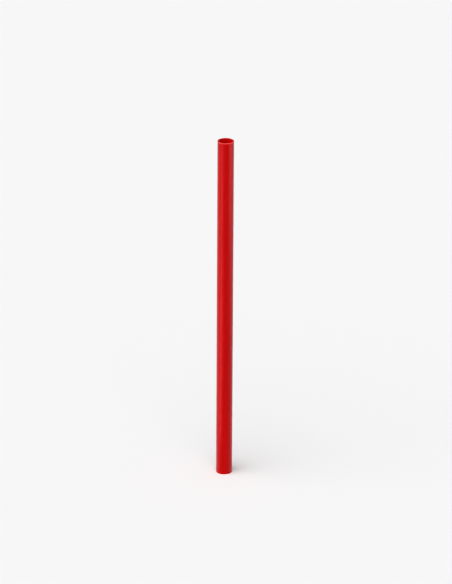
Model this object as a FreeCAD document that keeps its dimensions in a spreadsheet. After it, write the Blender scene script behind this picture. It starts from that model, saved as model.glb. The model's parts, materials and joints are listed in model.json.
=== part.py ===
# Drinking straw: one thin-walled plastic tube, drawn straight and cut square at both ends.
# The knife leaves a small round on each cut edge, outside and inside.
# Millimetres. Z runs up the straw, and the origin is the centre of its lower end,
# at the level of the surface that the straw stands on.

import FreeCAD, Part
import os
import Sketcher

# Driving dimensions: name, millimetres, what it measures.
SIZES = (
    ("straw_length", 220, "From one cut end to the other"),
    ("outer_diameter", 10, "Across the outside of the tube"),
    ("wall_thickness", 0.35, "Through the wall, from the outside to the bore"),
    ("edge_round", 0.06, "Radius that the knife leaves on each cut edge"),
)
# The two rounds of one end never take more than this share of the wall each,
# so a flat ring stays between them, however thin the wall is.
MOST_OF_WALL = 0.4
# An edge lies at a level when both its ends of height are this close to it.
LEVEL_TOLERANCE = 1e-6


def fill_sheet(doc):
    """Writes the driving dimensions to the sheet, one row each."""
    sheet = doc.addObject("Spreadsheet::Sheet", "Sizes")
    for row, (name, size, meaning) in enumerate(SIZES, start=1):
        sheet.set(f"A{row}", name)
        sheet.set(f"B{row}", str(size))
        sheet.setAlias(f"B{row}", name)
        sheet.set(f"C{row}", meaning)
    doc.recompute()


def origin_plane(body, role):
    """One of the body's own origin planes, such as XY_Plane."""
    return next(plane for plane in body.Origin.OriginFeatures if plane.Role == role)


def section_sketch(body):
    """The section of the tube: the outside and the bore, two circles about the origin."""
    sketch = body.newObject("Sketcher::SketchObject", "TubeSection")
    sketch.AttachmentSupport = (origin_plane(body, "XY_Plane"), [""])
    sketch.MapMode = "FlatFace"
    diameters = (
        ("outside", "Sizes.outer_diameter"),
        ("bore", "Sizes.outer_diameter - 2 * Sizes.wall_thickness"),
    )
    centre = FreeCAD.Vector(0, 0, 0)
    normal = FreeCAD.Vector(0, 0, 1)
    origin_point = (-1, 1)
    for circle, (name, diameter) in enumerate(diameters):
        first_guess = circle + 1
        sketch.addGeometry(Part.Circle(centre, normal, first_guess), False)
        sketch.addConstraint(Sketcher.Constraint("Coincident", circle, 3, *origin_point))
        index = sketch.addConstraint(Sketcher.Constraint("Diameter", circle, 2 * first_guess))
        sketch.renameConstraint(index, name)
        sketch.setExpression(f"Constraints.{name}", diameter)
    return sketch


def cut_edges(shape):
    """Names of the round edges at both ends, where the knife has passed."""
    ends = (shape.BoundBox.ZMin, shape.BoundBox.ZMax)

    def lies_at(edge, level):
        heights = (edge.BoundBox.ZMin, edge.BoundBox.ZMax)
        return all(abs(height - level) < LEVEL_TOLERANCE for height in heights)

    return [
        f"Edge{number}"
        for number, edge in enumerate(shape.Edges, start=1)
        if any(lies_at(edge, level) for level in ends)
    ]


def make_straw(doc):
    """The whole straw: the section drawn out to its length, then the cut edges rounded."""
    body = doc.addObject("PartDesign::Body", "Straw")
    body.Label = "straw"
    tube = body.newObject("PartDesign::Pad", "Tube")
    tube.Profile = section_sketch(body)
    tube.setExpression("Length", "Sizes.straw_length")
    doc.recompute()
    rounds = body.newObject("PartDesign::Fillet", "CutEdges")
    rounds.Base = (tube, cut_edges(tube.Shape))
    rounds.setExpression("Radius", f"min(Sizes.edge_round; {MOST_OF_WALL} * Sizes.wall_thickness)")
    body.Tip = rounds
    doc.recompute()
    return body


def check(doc, pieces):
    """Stops unless every feature was built and each piece is one closed solid."""
    failed = [feature.Name for feature in doc.Objects if {"Invalid", "Error"} & set(feature.State)]
    if failed:
        raise RuntimeError(f"features that failed: {failed}")
    for piece in pieces:
        shape = piece.Shape
        if shape.isNull() or not shape.isValid() or len(shape.Solids) != 1:
            raise RuntimeError(f"{piece.Label} isn't one valid solid")


def main():
    doc = FreeCAD.newDocument("DrinkingStraw")
    fill_sheet(doc)
    pieces = [make_straw(doc)]
    check(doc, pieces)
    os.makedirs("parts", exist_ok=True)
    for piece in pieces:
        piece.Shape.exportStep(f"parts/{piece.Label}.step")
        box = piece.Shape.optimalBoundingBox(False, False)
        print(
            f"{piece.Label}: {box.XLength:.3f} x {box.YLength:.3f} x {box.ZLength:.3f} mm,"
            f" {piece.Shape.Volume:.2f} mm3 in {len(piece.Shape.Faces)} faces"
        )


main()
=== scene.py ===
"""A red plastic drinking straw, standing on its end on a pale floor in soft studio light."""

import json
import math

import bmesh
import bpy
from mathutils import Matrix, Vector


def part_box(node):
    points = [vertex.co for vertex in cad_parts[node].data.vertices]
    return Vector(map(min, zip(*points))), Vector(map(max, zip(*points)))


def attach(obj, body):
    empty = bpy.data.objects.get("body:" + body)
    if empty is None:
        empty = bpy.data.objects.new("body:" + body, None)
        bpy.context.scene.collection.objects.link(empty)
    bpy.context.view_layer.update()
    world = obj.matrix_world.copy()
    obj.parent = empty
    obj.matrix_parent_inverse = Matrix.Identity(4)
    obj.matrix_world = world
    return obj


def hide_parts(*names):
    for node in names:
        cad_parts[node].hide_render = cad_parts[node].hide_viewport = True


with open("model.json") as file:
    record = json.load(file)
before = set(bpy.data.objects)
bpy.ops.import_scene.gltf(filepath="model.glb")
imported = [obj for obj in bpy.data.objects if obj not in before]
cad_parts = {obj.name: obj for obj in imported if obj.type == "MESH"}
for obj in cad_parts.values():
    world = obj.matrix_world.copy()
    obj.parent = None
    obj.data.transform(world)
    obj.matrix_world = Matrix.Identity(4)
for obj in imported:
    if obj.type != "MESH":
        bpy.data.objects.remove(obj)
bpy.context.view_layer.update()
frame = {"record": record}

MM = 0.001
UP = Vector((0, 0, 1))


# Sizes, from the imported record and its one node

def mount_radius(name):
    """Radius in metres of a round mount of the record."""
    mount = next(m for m in frame["record"]["mounts"] if m["name"] == name)
    return mount["dims"]["r_mm"] * MM


OUTER_RADIUS = mount_radius("outside")
BORE_RADIUS = mount_radius("bore")
WALL = OUTER_RADIUS - BORE_RADIUS
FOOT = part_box("straw")[0].z
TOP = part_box("straw")[1].z
LENGTH = TOP - FOOT
# The round that the knife leaves on each cut edge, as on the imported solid
EDGE_ROUND = 0.06 * MM


# Node trees

class Signal:
    """What a socket of a node tree gives. Arithmetic on it adds the Math nodes for it."""

    def __init__(self, tree, socket):
        self.tree = tree
        self.socket = socket

    def math(self, operation, first, second):
        return self.tree.node("ShaderNodeMath", {"operation": operation}, {0: first, 1: second})

    def __add__(self, other):
        return self.math("ADD", self, other)

    def __radd__(self, other):
        return self.math("ADD", other, self)

    def __sub__(self, other):
        return self.math("SUBTRACT", self, other)

    def __rsub__(self, other):
        return self.math("SUBTRACT", other, self)

    def __mul__(self, other):
        return self.math("MULTIPLY", self, other)

    def __rmul__(self, other):
        return self.math("MULTIPLY", other, self)


class Tree:
    """The node tree of a new material or world, emptied first."""

    def __init__(self, owner):
        owner.use_nodes = True
        self.nodes = owner.node_tree.nodes
        self.links = owner.node_tree.links
        self.nodes.clear()

    def node(self, kind, settings=None, sockets=None, output=0):
        """Adds a node, sets it up and feeds its sockets. Returns the signal that it puts out."""
        made = self.nodes.new(kind)
        for name, value in (settings or {}).items():
            setattr(made, name, value)
        for name, value in (sockets or {}).items():
            if isinstance(value, Signal):
                self.links.new(value.socket, made.inputs[name])
            else:
                made.inputs[name].default_value = value
        return Signal(self, made.outputs[output]) if made.outputs else None


def rgba(colour):
    """A colour with its alpha, as a colour socket takes it."""
    return (*colour, 1.0)


def blend(tree, factor, first, second):
    """Mixes two colours. A Mix node takes them at its inputs 6 and 7 and gives output 2."""
    return tree.node(
        "ShaderNodeMix", {"data_type": "RGBA"}, {0: factor, 6: first, 7: second}, output=2
    )


def noise(tree, cells, detail=2.0, roughness=0.5):
    """Noise in the piece's own coordinates, with so many cells to the metre along X, Y and Z."""
    place = tree.node("ShaderNodeTexCoord", output="Object")
    stretched = tree.node("ShaderNodeMapping", sockets={"Vector": place, "Scale": cells})
    return tree.node(
        "ShaderNodeTexNoise",
        sockets={"Vector": stretched, "Scale": 1.0, "Detail": detail, "Roughness": roughness},
    )


# Noise lies about its middle, and nearly all of it between its low and its high.
NOISE_LOW = 0.3
NOISE_MIDDLE = 0.5
NOISE_HIGH = 0.7


def swing(signal, span):
    """Noise made to swing about 0."""
    return (signal - NOISE_MIDDLE) * span


# Plastic

DEEP_RED = (0.43, 0.0004, 0.0010)
WARM_RED = (0.50, 0.0010, 0.0016)
# The bore is the same plastic as the outside, painted lighter: a painted glow for light that
# comes through the thin wall.
BORE_PAINTED_GLOW_DEEP_RED = (0.52, 0.0014, 0.0020)
BORE_PAINTED_GLOW_WARM_RED = (0.60, 0.0024, 0.0030)
# The cut ends are paler partly from the knife's whitening and partly as a painted highlight on
# the lip.
CUT_AND_HIGHLIGHT_RED = (0.95, 0.048, 0.040)
WHITENED_AND_HIGHLIGHT_RED = (1.0, 0.160, 0.135)
# Painted glow: a lighter red painted into the wall just below the upper cut, standing in for
# light that comes in at the cut.
PAINTED_EDGE_GLOW_RED = (0.86, 0.040, 0.034)
RED_SHEEN = (1.0, 0.055, 0.055)
PLASTIC_IOR = 1.49
# Light that goes into the plastic: its share, and how far each colour of it gets
LIGHT_LET_IN = 0.50
LIGHT_REACH = (1.0, 0.06, 0.06)
LIGHT_DEPTH = 0.8 * MM
# Below the upper cut, this much of the wall gets a painted glow in its colour, for the light
# that goes in at the cut.
PAINTED_EDGE_GLOW_DEPTH = 0.8 * MM
# The streaks of colour are mostly a drift of the dye, and for the rest follow the ribs.
DYE_SHARE = 0.7
# Depths of the relief. The walls' finest lines have their own, and the ribs are deeper.
RIBS_TO_LINES = 2.0
WAVE_DEPTH = 0.020 * MM
GRAIN_DEPTH = 0.0008 * MM
KNIFE_LINE_DEPTH = 0.004 * MM
CUT_ROUGHNESS = 0.46


def new_material(name):
    """A material and its empty tree."""
    material = bpy.data.materials.new(name)
    return material, Tree(material)


def plastic(tree, colour, roughness, height):
    """The dyed plastic: light goes a little way into it, and its gloss is tinted."""
    bump = tree.node("ShaderNodeBump", sockets={"Height": height, "Distance": 1.0})
    surface = tree.node(
        "ShaderNodeBsdfPrincipled",
        sockets={
            "Base Color": colour,
            "Roughness": roughness,
            "IOR": PLASTIC_IOR,
            "Normal": bump,
            "Subsurface Weight": LIGHT_LET_IN,
            "Subsurface Radius": LIGHT_REACH,
            "Subsurface Scale": LIGHT_DEPTH,
            "Specular Tint": rgba(RED_SHEEN),
        },
    )
    tree.node("ShaderNodeOutputMaterial", sockets={"Surface": surface})


def painted_cut_glow(tree):
    """A painted glow in the wall's colour, for light that goes in at the upper cut: 1 there,
    fading below it.
    """
    place = tree.node("ShaderNodeTexCoord", output="Object")
    height = tree.node("ShaderNodeSeparateXYZ", sockets={"Vector": place}, output="Z")
    return tree.node(
        "ShaderNodeMapRange",
        {"interpolation_type": "SMOOTHSTEP"},
        {"Value": height, "From Min": TOP - PAINTED_EDGE_GLOW_DEPTH, "From Max": TOP},
    )


def wall_finish(name, deep, warm, roughness, line_depth, painted_glow_share):
    """A drawn wall: lines along its length from the die, a faint drift of the dye, and a
    painted glow below the upper cut, for the light that goes in there."""
    material, tree = new_material(name)
    die_lines = noise(tree, cells=(2600, 2600, 5), detail=3.0, roughness=0.6)
    ribs = noise(tree, cells=(420, 420, 3))
    waves = noise(tree, cells=(110, 110, 26))
    grain = noise(tree, cells=(5200, 5200, 3400), detail=1.0)
    dye = noise(tree, cells=(170, 170, 18), detail=3.0)
    streaks = tree.node(
        "ShaderNodeMapRange",
        sockets={
            "Value": dye * DYE_SHARE + ribs * (1 - DYE_SHARE),
            "From Min": NOISE_LOW,
            "From Max": NOISE_HIGH,
        },
    )
    dyed = blend(tree, streaks, rgba(deep), rgba(warm))
    # The wall's colour turns to a painted glow near the upper cut.
    colour = blend(tree, painted_cut_glow(tree) * painted_glow_share, dyed, rgba(PAINTED_EDGE_GLOW_RED))
    height = (
        die_lines * line_depth
        + ribs * (RIBS_TO_LINES * line_depth)
        + waves * WAVE_DEPTH
        + grain * GRAIN_DEPTH
    )
    uneven = roughness + swing(die_lines, span=0.10) + swing(waves, span=0.06)
    plastic(tree, colour, uneven, height)
    return material


def cut_finish():
    """The cut ends: paler than the walls, partly whitened by the knife and partly a painted
    highlight on the lip, and duller, with the knife's lines straight across.
    """
    material, tree = new_material("cut_end")
    knife_lines = noise(tree, cells=(260, 9000, 9000))
    colour = blend(tree, knife_lines, rgba(CUT_AND_HIGHLIGHT_RED), rgba(WHITENED_AND_HIGHLIGHT_RED))
    uneven = CUT_ROUGHNESS + swing(knife_lines, span=0.16)
    plastic(tree, colour, uneven, knife_lines * KNIFE_LINE_DEPTH)
    return material


# The straw

ROUND_STEPS = 128
CORNER_STEPS = 4
# The wall gets rings of edges: three close behind each cut, which keep the smooth shading
# of the rounded edge out of the wall, and the others evenly along it.
CLOSE_RINGS = (0.12 * MM, 0.30 * MM, 1.0 * MM)
RING_SPACING = 5.0 * MM
# Points nearer to each other, or to a cut through the mesh, count as one.
SAME_PLACE = 0.001 * MM


def ring_heights():
    """Heights of the rings of edges along the wall, from the foot up."""
    near_foot = [FOOT + step for step in CLOSE_RINGS]
    near_top = [TOP - step for step in reversed(CLOSE_RINGS)]
    count = round(LENGTH / RING_SPACING)
    between = [FOOT + LENGTH * step / count for step in range(1, count)]
    return near_foot + between + near_top


def crosses_wall(edge):
    """True of an edge as long as the wall is thick, which runs from the bore to the outside."""
    return abs(edge.verts[0].co.x - edge.verts[1].co.x) > WALL - EDGE_ROUND


def select_edges(piece, test):
    """In edit mode, selects the edges that pass the test and nothing else."""
    mesh = bmesh.from_edit_mesh(piece.data)
    for part in (*mesh.verts, *mesh.edges, *mesh.faces):
        part.select = False
    for edge in mesh.edges:
        if test(edge):
            edge.select_set(True)
    mesh.select_flush_mode()
    bmesh.update_edit_mesh(piece.data)


def straw_tube():
    """The straw: a section of its wall with rounded corners, spun once about its axis."""
    section_centre = (BORE_RADIUS + WALL / 2, 0, (FOOT + TOP) / 2)
    bpy.ops.object.select_all(action="DESELECT")
    bpy.ops.mesh.primitive_plane_add(
        size=1.0, location=section_centre, rotation=(math.pi / 2, 0, 0)
    )
    tube = bpy.context.object
    tube.name = "straw_tube"
    tube.data.name = "straw_tube"
    bpy.ops.object.transform_apply(location=True, rotation=True, scale=True)
    bpy.ops.object.mode_set(mode="EDIT")
    bpy.ops.mesh.select_all(action="SELECT")
    bpy.ops.transform.resize(value=(WALL, 1.0, LENGTH), center_override=section_centre)
    bpy.ops.mesh.bevel(
        offset=EDGE_ROUND, segments=CORNER_STEPS, profile=0.5, affect="VERTICES"
    )
    for height in ring_heights():
        bpy.ops.mesh.select_all(action="SELECT")
        bpy.ops.mesh.bisect(plane_co=(0, 0, height), plane_no=UP, threshold=SAME_PLACE)
    # Only the outline is spun, so the faces go, and the edges that the cuts left across it.
    bpy.ops.mesh.select_mode(type="EDGE")
    bpy.ops.mesh.select_all(action="SELECT")
    bpy.ops.mesh.delete(type="ONLY_FACE")
    select_edges(tube, crosses_wall)
    bpy.ops.mesh.delete(type="EDGE")
    bpy.ops.mesh.select_all(action="SELECT")
    bpy.ops.mesh.spin(steps=ROUND_STEPS, angle=2 * math.pi, center=(0, 0, 0), axis=UP)
    bpy.ops.mesh.select_all(action="SELECT")
    bpy.ops.mesh.remove_doubles(threshold=SAME_PLACE)
    bpy.ops.mesh.normals_make_consistent(inside=False)
    bpy.ops.object.mode_set(mode="OBJECT")
    bpy.ops.object.shade_smooth()
    return tube


def dress_tube(tube):
    """Gives the outside, the bore and the two cut ends their finishes."""
    outer_wall = wall_finish(
        "outer_wall",
        DEEP_RED,
        WARM_RED,
        roughness=0.34,
        line_depth=0.022 * MM,
        painted_glow_share=1.0,
    )
    bore_wall = wall_finish(
        "bore_wall",
        BORE_PAINTED_GLOW_DEEP_RED,
        BORE_PAINTED_GLOW_WARM_RED,
        roughness=0.40,
        line_depth=0.012 * MM,
        painted_glow_share=0.3,
    )
    finishes = (outer_wall, bore_wall, cut_finish())
    for finish in finishes:
        tube.data.materials.append(finish)
    outside, bore, cut = range(len(finishes))
    for face in tube.data.polygons:
        from_end = min(face.center.z - FOOT, TOP - face.center.z)
        inwards = face.normal.x * face.center.x + face.normal.y * face.center.y < 0
        if from_end < EDGE_ROUND:
            face.material_index = cut
        else:
            face.material_index = bore if inwards else outside


# The floor

BOARD_GREYS = ((0.86, 0.86, 0.86), (0.88, 0.88, 0.88))
TOOTH_DEPTH = 0.02 * MM
BOARD_SIZE = 24.0
# The middle is off the straw's axis, so that the seam between the board's two triangles
# runs clear of the straw.
BOARD_MIDDLE = (2.0, -2.0, FOOT)


def board_finish():
    """Matt white board with a trace of tooth."""
    material, tree = new_material("floor_board")
    tooth = noise(tree, cells=(900, 900, 900), detail=3.0)
    shade = noise(tree, cells=(2.2, 2.2, 2.2))
    darker, lighter = BOARD_GREYS
    colour = blend(tree, shade, rgba(darker), rgba(lighter))
    bump = tree.node("ShaderNodeBump", sockets={"Height": tooth, "Distance": TOOTH_DEPTH})
    surface = tree.node(
        "ShaderNodeBsdfPrincipled",
        sockets={
            "Base Color": colour,
            "Roughness": 0.75,
            "Specular IOR Level": 0.0,
            "Normal": bump,
        },
    )
    tree.node("ShaderNodeOutputMaterial", sockets={"Surface": surface})
    return material


def floor():
    """A large pale board, level with the foot."""
    bpy.ops.object.select_all(action="DESELECT")
    bpy.ops.mesh.primitive_plane_add(size=BOARD_SIZE, location=BOARD_MIDDLE)
    board = bpy.context.object
    board.name = "floor"
    board.data.materials.append(board_finish())
    bpy.ops.object.transform_apply(location=True, rotation=True, scale=True)


# The light

# Levels: at 1, a white card that faces the light is white.
ROOM_LEVEL = 0.38
BACKDROP_LEVEL = 0.92
KEY_DISTANCE = 3.0
STRIP_LIFT = 2 * MM
STANDING_WIDTH = 0.25
STANDING_HEIGHT = 1.2
STANDING_DISTANCE = 1.2


def outwards(azimuth, elevation=0):
    """The direction away from the straw. Azimuth 0 is towards the camera and grows to the
    right, in degrees, as elevation does upwards."""
    a = math.radians(azimuth)
    e = math.radians(elevation)
    return Vector((math.sin(a) * math.cos(e), -math.cos(a) * math.cos(e), math.sin(e)))


def facing(way):
    """The turn of a lamp that shines along a direction."""
    return way.to_track_quat("-Z", "Y").to_euler()


def hang(name, lamp, place, turn):
    """Puts up a lamp that the camera doesn't see."""
    holder = bpy.data.objects.new(name, lamp)
    holder.location = place
    holder.rotation_euler = turn
    holder.visible_camera = False
    bpy.context.scene.collection.objects.link(holder)
    return holder


def far_light(name, azimuth, elevation, spread, level):
    """A distant lamp that is spread degrees wide, as soft as that makes it."""
    lamp = bpy.data.lights.new(name, "SUN")
    lamp.angle = math.radians(spread)
    lamp.energy = math.pi * level
    way = outwards(azimuth, elevation)
    middle = UP * (FOOT + LENGTH / 2)
    hang(name, lamp, middle + way * KEY_DISTANCE, facing(-way))


def gloss_strip(name, shape, width, length, glow, place, turn):
    """A strip of light that shows only in the gloss of the plastic."""
    lamp = bpy.data.lights.new(name, "AREA")
    lamp.shape = shape
    lamp.size = width
    lamp.size_y = length
    lamp.energy = math.pi * width * length * glow
    hang(name, lamp, place, turn).visible_diffuse = False


def lying_strip(name, azimuth, glow, width, nearest, farthest):
    """Lies face up on the floor and points at the straw, whose wall mirrors the floor to a
    camera above it."""
    way = outwards(azimuth)
    place = way * ((nearest + farthest) / 2) + UP * (FOOT + STRIP_LIFT)
    face_up = (math.pi, 0, math.radians(azimuth))
    gloss_strip(name, "ELLIPSE", width, farthest - nearest, glow, place, face_up)


def standing_strip(name, azimuth, glow):
    """Stands on the floor and faces the straw, for a camera at the straw's own height."""
    way = outwards(azimuth)
    place = way * STANDING_DISTANCE + UP * (FOOT + STANDING_HEIGHT / 2)
    gloss_strip(
        name, "RECTANGLE", STANDING_WIDTH, STANDING_HEIGHT, glow, place, facing(-way)
    )


def light_the_straw():
    """A soft key light from the left, and strips on both sides for the gloss."""
    far_light("key_light", azimuth=-34, elevation=50, spread=80, level=0.90)
    lying_strip(
        "lying_strip_left", azimuth=-52, glow=4.8, width=0.15, nearest=0.05, farthest=1.60
    )
    standing_strip("standing_strip_left", azimuth=-50, glow=6.0)
    lying_strip(
        "lying_strip_right", azimuth=69, glow=4.4, width=0.36, nearest=0.40, farthest=1.00
    )
    standing_strip("standing_strip_right", azimuth=80, glow=8.0)


def light_the_room():
    """An even white room, which the camera and the gloss see as pale as the lit floor."""
    world = bpy.data.worlds.new("studio")
    tree = Tree(world)
    seen = tree.node("ShaderNodeLightPath", output="Is Camera Ray")
    for way in ("Is Glossy Ray", "Is Transmission Ray"):
        seen = seen + tree.node("ShaderNodeLightPath", output=way)
    level = ROOM_LEVEL + seen * (BACKDROP_LEVEL - ROOM_LEVEL)
    glow = tree.node(
        "ShaderNodeBackground", sockets={"Color": rgba((1.0, 1.0, 1.0)), "Strength": level}
    )
    tree.node("ShaderNodeOutputWorld", sockets={"Surface": glow})
    bpy.context.scene.world = world


# The photograph's view, found from the straw's rim and foot there

LOOK_DOWN = 23.0
LENS = 209.6
SENSOR_WIDTH = 36.0
CAMERA_DISTANCE = 2.0776
AIM_HEIGHT = 0.1215
AIM_ASIDE = 0.00063
CAMERA_ROLL = 0.32
NEAREST_SEEN = 0.05
FARTHEST_SEEN = 60.0


def photo_camera():
    """A long lens that looks down on the straw from the front."""
    lens = bpy.data.cameras.new("photo_camera")
    lens.lens = LENS
    lens.sensor_width = SENSOR_WIDTH
    lens.clip_start = NEAREST_SEEN
    lens.clip_end = FARTHEST_SEEN
    camera = bpy.data.objects.new("photo_camera", lens)
    tilt = Matrix.Rotation(math.radians(90 - LOOK_DOWN), 4, "X")
    roll = Matrix.Rotation(math.radians(CAMERA_ROLL), 4, "Z")
    aim = Vector((AIM_ASIDE, 0, FOOT + AIM_HEIGHT))
    place = aim + tilt @ UP * CAMERA_DISTANCE
    camera.matrix_world = Matrix.Translation(place) @ tilt @ roll
    bpy.context.scene.collection.objects.link(camera)
    bpy.context.scene.camera = camera


straw = straw_tube()
dress_tube(straw)
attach(straw, "root")
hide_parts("straw")
floor()
light_the_straw()
light_the_room()
photo_camera()
bpy.context.scene.view_settings.view_transform = "Standard"
